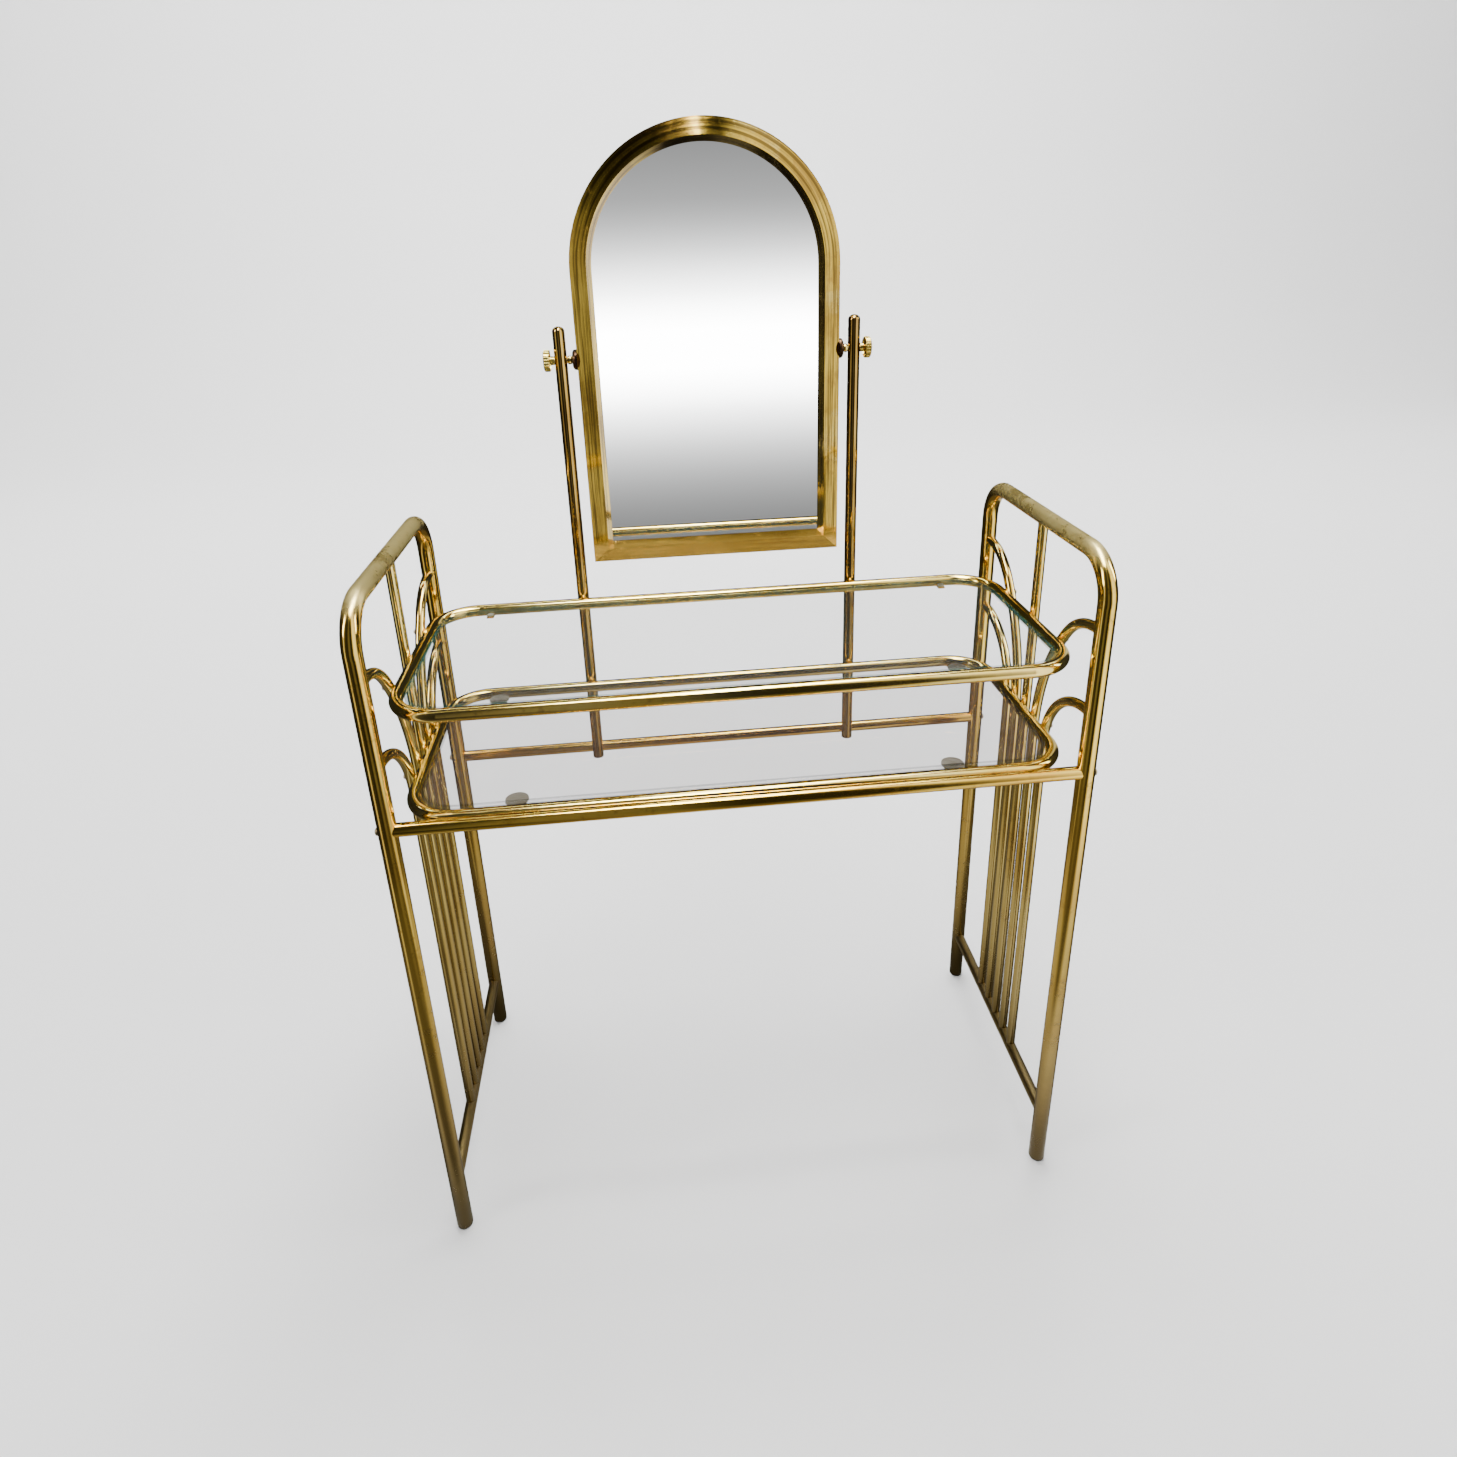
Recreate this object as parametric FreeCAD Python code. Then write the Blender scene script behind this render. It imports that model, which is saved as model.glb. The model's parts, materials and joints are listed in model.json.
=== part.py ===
"""Vanity table: two tube side frames with a palm fan each, two tube rings with glass
shelves, two posts and an arched tilting mirror.  Millimetres, +Z up, front towards -Y.
The origin is on the floor, midway between the four legs."""

import FreeCAD
import Part
import math
import os

from FreeCAD import Vector

# ---- overall sizes -------------------------------------------------------------
LEG_SPAN_X = 760.0          # between leg axes, left to right
LEG_SPAN_Y = 325.0          # between leg axes, front to back
BAR_Z = 854.0               # axis of the side frames' top bars
UPPER_Z = 728.0             # axis of the upper ring, just under table height
LOWER_Z = 605.0             # axis of the lower ring and of the front rail
REAR_RAIL_Z = 493.0         # axis of the rear rail
SIDE_RAIL_Z = 80.0          # axis of the low side rails

# ---- tubes ---------------------------------------------------------------------
LEG_R = 10.0                # side frame tube, outer radius
LEG_WALL = 1.2
TUBE_R = 7.5                # rings, rails and posts, outer radius
TUBE_WALL = 1.0
FAN_R = 6.0                 # fan tubes, outer radius
FAN_WALL = 1.0
FIT = 0.05                  # radial clearance of plugs and sleeves in their tubes
LEG_BEND_R = 48.0           # centre-line bend at the top of a side frame

# ---- palm fan in each side frame -----------------------------------------------
FAN_PITCH = 28.0            # spacing of the five upright tubes
FAN_INNER_Z = 774.0         # where the inner pair meets the legs
FAN_OUTER_Z = 676.0         # where the outer pair meets the legs
INNER_TIGHT_R = 85.0        # inner pair: tight bend near the leg
INNER_TIGHT_DEG = 50.0
INNER_LEAD = 10.0           # straight lead out of the leg axis
OUTER_LEAD = 8.5            # outer pair: straight lead, then one quarter bend

# ---- rings and shelves ---------------------------------------------------------
RING_CORNER_R = 52.0        # centre-line corner radius
RING_JOINT_X = 23.0         # butt joint in the rear run of each ring
RING_JOINT_GAP = 0.3
SLEEVE_LEN = 44.0
GLASS_T = 5.0
GLASS_GAP = 0.8             # between a pane's edge and the ring's widest wall
GLASS_EDGE = 0.7            # polished edge chamfer
UPPER_SEAT = -1.0           # underside of the upper pane above the ring axis
LOWER_SEAT = 2.0            # underside of the lower pane above the ring axis
TAB_T = 2.0
BUMPER_T = 1.5
BUMPER_R = 4.0
PAD_R = 13.0
PAD_T = 3.0
PAD_STEM_R = 3.0
PAD_INSET = 21.0            # pad centre in from the ring axis
UPPER_TAB_X = 300.0
FRONT_PAD_X = (-250.0, 240.0)
REAR_PAD_X = (-302.0, 326.0)
CORNER_PAD_DROP = 6.0       # the pad beside a ring corner sits this much further in

# ---- posts ---------------------------------------------------------------------
POST_X = 181.0
POST_BOTTOM_Z = 487.0
POST_TOP_Z = 1076.0
CAP_DOME = 6.0
PLUG_LEN = 12.0

# ---- mirror --------------------------------------------------------------------
PIVOT_Z = 1042.0
MIRROR_HALF_W = 161.0
MIRROR_BELOW = 259.0        # lower edge below the pivot
MIRROR_ARCH = 101.0         # centre of the arch above the pivot
FACE_W = 25.0               # width of the frame section seen from the front
SHEET_T = 1.2
SECTION = ((0.0, 0.25), (5.2, 15.0), (24.4, 6.0), (24.4, -8.0), (11.0, -8.0))
PLANE_SHIFT = 1.3           # glass face in front of the pivot axis
PANE_MARGIN = 14.0          # how far the pane runs under the frame
MIRROR_T = 3.0
BOARD_T = 4.4

# ---- pivots and knobs ----------------------------------------------------------
BOLT_R = 3.0
BOLT_CLEARANCE = 0.05       # running clearance of the bolt in post and knob
BOLT_HEAD_R = 5.0
BOLT_HEAD_T = 4.3
DOME_R = 12.3
DOME_T = 6.2
SPACER_R = 5.3
KNOB_R = 13.0
KNOB_HUB_R = 5.2
KNOB_HUB_L = 5.2
KNOB_RIM_L = 8.0
KNOB_CUP = 2.2              # depth of the hollow round the hub
KNOB_LIP = 2.4              # width of the rim round that hollow
KNOB_FLUTES = 24
FLUTE_R = 1.2
SIDE_GAP = 0.3              # between a post and what turns beside it

# ---- screws and feet -----------------------------------------------------------
SCREW_R = 2.5
SMALL_SCREW_R = 1.5
GLIDE_T = 3.0
GLIDE_PLUG = 15.0

# ---- derived -------------------------------------------------------------------
HALF_X = LEG_SPAN_X / 2
HALF_Y = LEG_SPAN_Y / 2
RING_HALF_X = HALF_X - FAN_R - TUBE_R
POST_Y = HALF_Y - 2 * TUBE_R
RING_REAR_Y = POST_Y - 2 * TUBE_R
RING_FRONT_Y = -HALF_Y + 2 * TUBE_R
PANE_INSET = TUBE_R + GLASS_GAP
GLASS_PLANE_Y = POST_Y - PLANE_SHIFT
MIRROR_BOTTOM_Z = PIVOT_Z - MIRROR_BELOW
ARCH_Z = PIVOT_Z + MIRROR_ARCH
OPENING_HALF_W = MIRROR_HALF_W - FACE_W
OUTER_BEND_R = HALF_Y - 2 * FAN_PITCH - OUTER_LEAD

X = Vector(1, 0, 0)
Y = Vector(0, 1, 0)
Z = Vector(0, 0, 1)


# ---- helpers -------------------------------------------------------------------
def rod(start, along, length, radius):
    return Part.makeCylinder(radius, length, start, along)


def pipe(start, along, length, radius, wall):
    hollow = rod(start - along, along, length + 2, radius - wall)
    return rod(start, along, length, radius).cut(hollow)


def disc_face(centre, normal, radius, bore=0.0):
    face = Part.Face(Part.Wire(Part.makeCircle(radius, centre, normal)))
    if bore > 0:
        face = face.cut(Part.Face(Part.Wire(Part.makeCircle(bore, centre, normal))))
    return face


def sweep(start, heading, steps, radius, bore=0.0):
    """A round bar or tube along straight runs and bends.  A step is ("run", length)
    or ("bend", centre-line radius, direction towards the bend's centre, degrees)."""
    here = Vector(start)
    ahead = Vector(heading)
    pieces = []
    for step in steps:
        face = disc_face(here, ahead, radius, bore)
        if step[0] == "run":
            pieces.append(face.extrude(ahead * step[1]))
            here = here + ahead * step[1]
            continue
        _, bend_r, side, degrees = step
        hub = here + side * bend_r
        axle = ahead.cross(side)
        pieces.append(face.revolve(hub, axle, degrees))
        turn = FreeCAD.Rotation(axle, degrees)
        here = hub + turn.multVec(here - hub)
        ahead = turn.multVec(ahead)
    return one_solid(pieces)


def one_solid(shapes):
    joined = shapes[0].multiFuse(shapes[1:]) if len(shapes) > 1 else shapes[0]
    joined = joined.removeSplitter()
    return joined.Solids[0] if len(joined.Solids) == 1 else joined


def group(shapes):
    solids = []
    for shape in shapes:
        solids.extend(shape.Solids)
    return Part.makeCompound(solids)


def turned(profile, origin, axis_dir, radial_dir):
    """Full revolution of (radius, along) points about axis_dir through origin."""
    points = [origin + radial_dir * r + axis_dir * a for r, a in profile]
    face = Part.Face(Part.makePolygon(points + [points[0]]))
    return face.revolve(origin, axis_dir, 360)


def screw(seat, inward, length, shank_r, head_r, head_t):
    """Domed cross-recess screw; seat is the middle of the bearing face of the head."""
    across = Z if abs(inward.z) < 0.5 else X
    outline = ((0, -head_t), (head_r * 0.55, -head_t * 0.92), (head_r * 0.9, -head_t * 0.5),
               (head_r, 0), (shank_r, 0), (shank_r, length), (0, length))
    body = turned(outline, seat, inward, across)
    for arm in (across, inward.cross(across)):
        slot = Part.makeBox(head_r, 0.7, head_t * 0.45,
                            Vector(-head_r / 2, -0.35, -head_t * 0.45))
        side = inward.cross(arm)
        frame = FreeCAD.Matrix(arm.x, side.x, inward.x, 0, arm.y, side.y, inward.y, 0,
                               arm.z, side.z, inward.z, 0, 0, 0, 0, 1)
        slot = slot.transformGeometry(frame)
        slot.translate(seat - inward * head_t * 0.6)
        body = body.cut(slot)
    return body


def offset_line(points, distance):
    """The points of an open line moved sideways, with mitred corners."""
    normals = []
    for (u0, w0), (u1, w1) in zip(points, points[1:]):
        length = math.hypot(u1 - u0, w1 - w0)
        normals.append(((w0 - w1) / length, (u1 - u0) / length))
    moved = []
    for i, (u, w) in enumerate(points):
        a = normals[max(i - 1, 0)]
        b = normals[min(i, len(normals) - 1)]
        scale = distance / (1 + a[0] * b[0] + a[1] * b[1])
        moved.append((u + (a[0] + b[0]) * scale, w + (a[1] + b[1]) * scale))
    return moved


def save(name, shape):
    shape.exportStep("parts/" + name + ".step")


# ---- side frames ---------------------------------------------------------------
def side_frame_bar(x, bore):
    climb = BAR_Z - LEG_BEND_R - GLIDE_T
    steps = (("run", climb), ("bend", LEG_BEND_R, Y, 90),
             ("run", LEG_SPAN_Y - 2 * LEG_BEND_R),
             ("bend", LEG_BEND_R, -Z, 90), ("run", climb))
    return sweep(Vector(x, -HALF_Y, GLIDE_T), Z, steps, LEG_R, bore)


def side_frame(x):
    tube = side_frame_bar(x, LEG_R - LEG_WALL)
    for y, z in ((-HALF_Y, LOWER_Z), (HALF_Y, REAR_RAIL_Z)):
        tube = tube.cut(rod(Vector(x - 15, y, z), X, 30, SCREW_R))
    return tube


def side_rail_bar(x):
    return rod(Vector(x, -HALF_Y, SIDE_RAIL_Z), Y, LEG_SPAN_Y, TUBE_R)


def side_rail(x, legs):
    tube = pipe(Vector(x, -HALF_Y, SIDE_RAIL_Z), Y, LEG_SPAN_Y, TUBE_R, TUBE_WALL)
    return tube.cut(legs)


def inner_bend_steps(ahead):
    """Tight bend out of the leg, then a slow bend into the upright."""
    reach = HALF_Y - FAN_PITCH - INNER_LEAD
    turn = math.radians(INNER_TIGHT_DEG)
    slow_r = (reach - INNER_TIGHT_R * math.sin(turn)) / (1 - math.sin(turn))
    drop = INNER_TIGHT_R * (1 - math.cos(turn)) + slow_r * math.cos(turn)
    side = Vector(0, -ahead.y * math.sin(turn), -math.cos(turn))
    return (("run", INNER_LEAD), ("bend", INNER_TIGHT_R, -Z, INNER_TIGHT_DEG),
            ("bend", slow_r, side, 90 - INNER_TIGHT_DEG),
            ("run", FAN_INNER_Z - drop - SIDE_RAIL_Z))


def outer_bend_steps():
    return (("run", OUTER_LEAD), ("bend", OUTER_BEND_R, -Z, 90),
            ("run", FAN_OUTER_Z - OUTER_BEND_R - SIDE_RAIL_Z))


def inner_y_at(z):
    """How far from the middle the inner pair runs at height z."""
    turn = math.radians(INNER_TIGHT_DEG)
    reach = HALF_Y - FAN_PITCH - INNER_LEAD
    slow_r = (reach - INNER_TIGHT_R * math.sin(turn)) / (1 - math.sin(turn))
    drop = FAN_INNER_Z - z - INNER_TIGHT_R * (1 - math.cos(turn))
    tilt = math.acos(math.cos(turn) - drop / slow_r)
    return FAN_PITCH + slow_r * (1 - math.sin(tilt))


def outer_y_at(z):
    """How far from the middle the outer pair runs at height z."""
    tilt = math.acos(1 - (FAN_OUTER_Z - z) / OUTER_BEND_R)
    return 2 * FAN_PITCH + OUTER_BEND_R * (1 - math.sin(tilt))


def fan_tube(x, end, z, steps, neighbours, screws):
    start = Vector(x, end * HALF_Y, z)
    tube = sweep(start, Vector(0, -end, 0), steps, FAN_R, FAN_R - FAN_WALL)
    return tube.cut(neighbours).cut(screws)


def fan_centre(x, neighbours):
    tube = pipe(Vector(x, 0, SIDE_RAIL_Z), Z, BAR_Z - SIDE_RAIL_Z, FAN_R, FAN_WALL)
    return tube.cut(neighbours)


# ---- rings ---------------------------------------------------------------------
def ring_steps(bore):
    side_run = RING_REAR_Y - RING_FRONT_Y - 2 * RING_CORNER_R
    front_run = 2 * (RING_HALF_X - RING_CORNER_R)
    half_gap = RING_JOINT_GAP / 2 if bore else 0.0
    left = RING_JOINT_X - half_gap + RING_HALF_X - RING_CORNER_R
    right = RING_HALF_X - RING_CORNER_R - RING_JOINT_X - half_gap
    return (("run", left), ("bend", RING_CORNER_R, -Y, 90), ("run", side_run),
            ("bend", RING_CORNER_R, X, 90), ("run", front_run),
            ("bend", RING_CORNER_R, Y, 90), ("run", side_run),
            ("bend", RING_CORNER_R, -X, 90), ("run", right))


def ring_bar(z, bore=0.0):
    half_gap = RING_JOINT_GAP / 2 if bore else 0.0
    start = Vector(RING_JOINT_X - half_gap, RING_REAR_Y, z)
    return sweep(start, -X, ring_steps(bore), TUBE_R, bore)


def ring_sleeve(z):
    start = Vector(RING_JOINT_X - SLEEVE_LEN / 2, RING_REAR_Y, z)
    return pipe(start, X, SLEEVE_LEN, TUBE_R - TUBE_WALL - FIT, TUBE_WALL)


def pane(z):
    half_x = RING_HALF_X - PANE_INSET
    front = RING_FRONT_Y + PANE_INSET
    depth = RING_REAR_Y - RING_FRONT_Y - 2 * PANE_INSET
    slab = Part.makeBox(2 * half_x, depth, GLASS_T, Vector(-half_x, front, z))
    uprights = [e for e in slab.Edges if abs(e.tangentAt(e.FirstParameter).z) > 0.9]
    slab = slab.makeFillet(RING_CORNER_R - PANE_INSET, uprights)
    rims = [e for e in slab.Edges if abs(e.BoundBox.ZLength) < 0.001]
    return slab.makeChamfer(GLASS_EDGE, rims)


def upper_supports(ring):
    """Small tabs inside the upper ring, each with a clear bumper under the pane."""
    tabs = []
    bumpers = []
    under = UPPER_Z + UPPER_SEAT
    for sx in (-1, 1):
        for wall, inward in ((RING_FRONT_Y, 1), (RING_REAR_Y, -1)):
            x = sx * UPPER_TAB_X
            mid = wall + inward * (TUBE_R + 5.5)
            low = min(wall, wall + inward * 19)
            box = Part.makeBox(9, 19, TAB_T, Vector(x - 4.5, low, under - BUMPER_T - TAB_T))
            tabs.append(box.cut(ring))
            bumpers.append(rod(Vector(x, mid, under - BUMPER_T), Z, BUMPER_T, BUMPER_R))
    return group(tabs), group(bumpers)


def pad_places():
    front = RING_FRONT_Y + PAD_INSET
    rear = RING_REAR_Y - PAD_INSET
    places = [(x, front, 1) for x in FRONT_PAD_X]
    for x in REAR_PAD_X:
        beside_corner = abs(x) > RING_HALF_X - RING_CORNER_R
        places.append((x, rear - (CORNER_PAD_DROP if beside_corner else 0), -1))
    return places


def lower_supports(ring):
    """Tabs inside the lower ring, each with a mushroom pad pushed through it."""
    tabs = []
    pads = []
    under = LOWER_Z + LOWER_SEAT
    for x, y, inward in pad_places():
        reach = PAD_INSET + CORNER_PAD_DROP + 9
        low = y + 9 - reach if inward > 0 else y - 9
        slab = Part.makeBox(20, reach, TAB_T, Vector(x - 10, low, under - PAD_T - TAB_T))
        stem = rod(Vector(x, y, under - PAD_T - TAB_T - 4), Z, TAB_T + 4, PAD_STEM_R)
        slab = slab.cut(stem).cut(ring)
        tabs.append(max(slab.Solids, key=lambda s: s.Volume if s.isInside(
            Vector(x, y - inward * 5, under - PAD_T - 1), 0.01, True) else 0))
        disc = turned(((0, 0), (PAD_R - 4, 0), (PAD_R, PAD_T * 0.55), (PAD_R, PAD_T), (0, PAD_T)),
                      Vector(x, y, under - PAD_T), Z, X)
        pads.append(disc.fuse(stem).removeSplitter())
    return group(tabs), group(pads)


# ---- posts ---------------------------------------------------------------------
def post_screws():
    places = []
    for x in (-POST_X, POST_X):
        for z in (UPPER_Z, LOWER_Z):
            places.append(screw(Vector(x, POST_Y + TUBE_R, z), -Y, 3 * TUBE_R, SMALL_SCREW_R, 3.2, 1.8))
        places.append(screw(Vector(x, HALF_Y + TUBE_R, REAR_RAIL_Z), -Y, 3 * TUBE_R,
                            SMALL_SCREW_R, 3.2, 1.8))
    return places


def post(x, screws):
    tube = pipe(Vector(x, POST_Y, POST_BOTTOM_Z), Z, POST_TOP_Z - POST_BOTTOM_Z, TUBE_R, TUBE_WALL)
    axle = rod(Vector(x - 20, POST_Y, PIVOT_Z), X, 40, BOLT_R + BOLT_CLEARANCE)
    return tube.cut(axle).cut(screws)


def post_cap(x):
    inside = TUBE_R - TUBE_WALL - FIT
    outline = [(0, -PLUG_LEN), (inside, -PLUG_LEN), (inside, 0), (TUBE_R, 0)]
    for step in range(1, 8):
        lift = math.radians(step * 90 / 8)
        outline.append((TUBE_R * math.cos(lift), CAP_DOME * math.sin(lift)))
    outline.append((0, CAP_DOME))
    return turned(outline, Vector(x, POST_Y, POST_TOP_Z), Z, X)


def post_plug(x):
    inside = TUBE_R - TUBE_WALL - FIT
    outline = ((0, -1.0), (TUBE_R, -1.0), (TUBE_R, 0), (inside, 0), (inside, 3.5), (0, 3.5))
    return turned(outline, Vector(x, POST_Y, POST_BOTTOM_Z), Z, X)


# ---- rails, inserts and feet ---------------------------------------------------
def cross_rail(y, z, legs, cutters):
    tube = pipe(Vector(-HALF_X, y, z), X, LEG_SPAN_X, TUBE_R, TUBE_WALL)
    return tube.cut(legs).cut(cutters)


def rail_screws():
    screws = []
    for y, z in ((-HALF_Y, LOWER_Z), (HALF_Y, REAR_RAIL_Z)):
        for sx in (-1, 1):
            seat = Vector(sx * (HALF_X + LEG_R), y, z)
            screws.append(screw(seat, Vector(-sx, 0, 0), 42, SCREW_R, 4.6, 2.6))
    return screws


def rail_inserts(legs, screws):
    inserts = []
    for y, z in ((-HALF_Y, LOWER_Z), (HALF_Y, REAR_RAIL_Z)):
        for sx in (-1, 1):
            start = Vector(sx * (HALF_X - LEG_R), y, z)
            insert = rod(start, Vector(-sx, 0, 0), 25, TUBE_R - TUBE_WALL - FIT)
            inserts.append(insert.cut(legs).cut(screws))
    return group(inserts)


def foot_glides():
    inside = LEG_R - LEG_WALL - FIT
    outline = ((0, 0), (LEG_R - 1.2, 0), (LEG_R - 0.2, 0.8), (LEG_R - 0.2, GLIDE_T),
               (inside, GLIDE_T), (inside, GLIDE_PLUG), (0, GLIDE_PLUG))
    feet = []
    for x in (-HALF_X, HALF_X):
        for y in (-HALF_Y, HALF_Y):
            feet.append(turned(outline, Vector(x, y, 0), Z, X))
    return group(feet)


def ring_screws():
    screws = []
    for sx in (-1, 1):
        for z, y in ((UPPER_Z, inner_y_at(UPPER_Z)), (LOWER_Z, outer_y_at(LOWER_Z))):
            for sy in (-1, 1):
                seat = Vector(sx * (HALF_X + FAN_R), sy * y, z)
                screws.append(screw(seat, Vector(-sx, 0, 0), 2 * FAN_R + TUBE_R, SMALL_SCREW_R, 3.0, 1.8))
    return screws


# ---- mirror --------------------------------------------------------------------
def section_points():
    half = SHEET_T / 2
    return offset_line(SECTION, half) + offset_line(SECTION, -half)[::-1]


def section_face(place):
    points = [place(u, w) for u, w in section_points()]
    return Part.Face(Part.makePolygon(points + [points[0]]))


def corner_region():
    """Everything on the lower rail's side of the two mitre cuts."""
    low = MIRROR_BOTTOM_Z - 4
    rise = 70.0
    half = MIRROR_HALF_W + 4
    corners = ((-half, low), (half, low), (half - rise, low + rise), (rise - half, low + rise))
    points = [Vector(x, GLASS_PLANE_Y - 30, z) for x, z in corners]
    return Part.Face(Part.makePolygon(points + [points[0]])).extrude(Y * 60)


def mirror_arch(region, axle):
    def right_side(z):
        return section_face(lambda u, w: Vector(OPENING_HALF_W + u, GLASS_PLANE_Y - w, z))
    upright = right_side(MIRROR_BOTTOM_Z).extrude(Z * (ARCH_Z - MIRROR_BOTTOM_Z))
    arch = right_side(ARCH_Z).revolve(Vector(0, GLASS_PLANE_Y, ARCH_Z), -Y, 180)
    other = upright.mirror(Vector(0, 0, 0), X)
    frame = one_solid([upright, arch, other])
    return frame.cut(region).cut(axle)


def mirror_base(region):
    bottom = MIRROR_BOTTOM_Z + FACE_W

    def place(u, w):
        return Vector(-MIRROR_HALF_W, GLASS_PLANE_Y - w, bottom - u)
    return section_face(place).extrude(X * 2 * MIRROR_HALF_W).common(region)


def arched_plate(back_y, thickness):
    half = OPENING_HALF_W + PANE_MARGIN
    low = MIRROR_BOTTOM_Z + FACE_W - PANE_MARGIN
    slab = Part.makeBox(2 * half, thickness, ARCH_Z - low, Vector(-half, back_y, low))
    round_top = rod(Vector(0, back_y, ARCH_Z), Y, thickness, half)
    return one_solid([slab, round_top])


# ---- pivots --------------------------------------------------------------------
def pivot_stack(sx):
    """Bolt, domed washer, spacer and knob on one side of the mirror."""
    out = Vector(sx, 0, 0)
    wall = Vector(sx * MIRROR_HALF_W, POST_Y, PIVOT_Z)
    inner = wall - out * SHEET_T
    post_in = POST_X - TUBE_R - MIRROR_HALF_W
    knob_at = POST_X + TUBE_R + SIDE_GAP - MIRROR_HALF_W
    hole = BOLT_R + BOLT_CLEARANCE
    tip = SHEET_T + knob_at + KNOB_HUB_L + KNOB_RIM_L - 4.5
    bolt = rod(inner - out * BOLT_HEAD_T, out, BOLT_HEAD_T, BOLT_HEAD_R)
    bolt = bolt.fuse(rod(inner, out, tip, BOLT_R)).removeSplitter()
    dome = turned(((BOLT_R, 0), (DOME_R, 0), (DOME_R, DOME_T * 0.45), (DOME_R - 0.8, DOME_T * 0.7),
                   (DOME_R - 2.6, DOME_T * 0.88), (DOME_R - 5.0, DOME_T * 0.97), (SPACER_R, DOME_T),
                   (BOLT_R, DOME_T)), wall, out, Z)
    length = post_in - SIDE_GAP - DOME_T
    belly = ((BOLT_R, 0), (3.9, 0), (4.9, length * 0.2), (SPACER_R, length * 0.5),
             (4.9, length * 0.8), (3.9, length), (BOLT_R, length))
    spacer = turned(belly, wall + out * DOME_T, out, Z)
    return bolt, dome, spacer, knob(wall + out * knob_at, out, hole)


def knob(start, out, hole):
    rim = KNOB_HUB_L
    full = KNOB_HUB_L + KNOB_RIM_L
    outline = ((0, 0), (KNOB_HUB_R, 0), (KNOB_HUB_R, rim + KNOB_CUP - 0.6),
               (KNOB_HUB_R + 0.8, rim + KNOB_CUP), (KNOB_R - KNOB_LIP, rim + KNOB_CUP),
               (KNOB_R - KNOB_LIP + 0.5, rim), (KNOB_R - 1.0, rim), (KNOB_R, rim + 1.0), (KNOB_R, full - 1.8),
               (KNOB_R - 1.4, full - 0.6), (KNOB_R - 4.5, full - 0.6), (KNOB_R - 5.4, full - 1.6),
               (4.4, full - 1.6), (3.4, full), (0, full))
    body = turned(outline, start, out, Z)
    for step in range(KNOB_FLUTES):
        angle = 2 * math.pi * step / KNOB_FLUTES
        spoke = Vector(0, math.cos(angle), math.sin(angle)) * (KNOB_R + FLUTE_R * 0.45)
        body = body.cut(rod(start + spoke + out * (rim - 1), out, KNOB_RIM_L + 2, FLUTE_R))
    return body.cut(rod(start - out, out, full - 3.0, hole))


# ---- build ---------------------------------------------------------------------
def build_side(name, x, legs, bolts):
    rail_bar = side_rail_bar(x)
    near = legs.fuse(rail_bar)
    save("side_frame_" + name, side_frame(x))
    save("side_rail_" + name, side_rail(x, legs))
    save("fan_centre_" + name, fan_centre(x, near))
    for end, place in ((-1, "front"), (1, "rear")):
        inner = inner_bend_steps(Vector(0, -end, 0))
        save("fan_inner_" + place + "_" + name, fan_tube(x, end, FAN_INNER_Z, inner, near, bolts))
        outer = outer_bend_steps()
        save("fan_outer_" + place + "_" + name, fan_tube(x, end, FAN_OUTER_Z, outer, near, bolts))


def build_rings(cutters):
    sleeves = []
    for name, z in (("upper", UPPER_Z), ("lower", LOWER_Z)):
        save(name + "_ring", ring_bar(z, TUBE_R - TUBE_WALL).cut(cutters))
        sleeves.append(ring_sleeve(z))
    save("ring_sleeves", group(sleeves))
    save("upper_glass", pane(UPPER_Z + UPPER_SEAT))
    save("lower_glass", pane(LOWER_Z + LOWER_SEAT))
    tabs, bumpers = upper_supports(ring_bar(UPPER_Z))
    save("upper_tabs", tabs)
    save("upper_bumpers", bumpers)
    tabs, pads = lower_supports(ring_bar(LOWER_Z))
    save("lower_tabs", tabs)
    save("lower_pads", pads)


def build_mirror():
    region = corner_region()
    axle = rod(Vector(-MIRROR_HALF_W - 5, POST_Y, PIVOT_Z), X, 2 * MIRROR_HALF_W + 10, BOLT_R)
    save("mirror_frame_arch", mirror_arch(region, axle))
    save("mirror_frame_base", mirror_base(region))
    save("mirror_glass", arched_plate(GLASS_PLANE_Y, MIRROR_T))
    save("mirror_backboard", arched_plate(GLASS_PLANE_Y + MIRROR_T, BOARD_T))
    left = pivot_stack(-1)
    right = pivot_stack(1)
    save("pivot_bolts", group([left[0], right[0]]))
    save("pivot_domes", group([left[1], right[1]]))
    save("pivot_spacers", group([left[2], right[2]]))
    save("knob_left", left[3])
    save("knob_right", right[3])


def main():
    os.makedirs("parts", exist_ok=True)
    left_legs = side_frame_bar(-HALF_X, 0.0)
    right_legs = side_frame_bar(HALF_X, 0.0)
    legs = Part.makeCompound([left_legs, right_legs])
    side_bolts = Part.makeCompound(ring_screws())
    rear_bolts = Part.makeCompound(post_screws())
    end_bolts = Part.makeCompound(rail_screws())
    build_side("left", -HALF_X, left_legs, side_bolts)
    build_side("right", HALF_X, right_legs, side_bolts)
    build_rings(Part.makeCompound([side_bolts, rear_bolts]))
    save("front_rail", cross_rail(-HALF_Y, LOWER_Z, legs, end_bolts))
    save("rear_rail", cross_rail(HALF_Y, REAR_RAIL_Z, legs, rear_bolts))
    save("rail_inserts", rail_inserts(legs, end_bolts))
    save("rail_screws", end_bolts)
    save("ring_screws", side_bolts)
    save("post_screws", rear_bolts)
    save("post_left", post(-POST_X, rear_bolts))
    save("post_right", post(POST_X, rear_bolts))
    save("post_caps", group([post_cap(-POST_X), post_cap(POST_X)]))
    save("post_plugs", group([post_plug(-POST_X), post_plug(POST_X)]))
    save("foot_glides", foot_glides())
    build_mirror()


main()
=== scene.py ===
import json
import math

import bpy
from mathutils import Matrix, Vector


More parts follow.
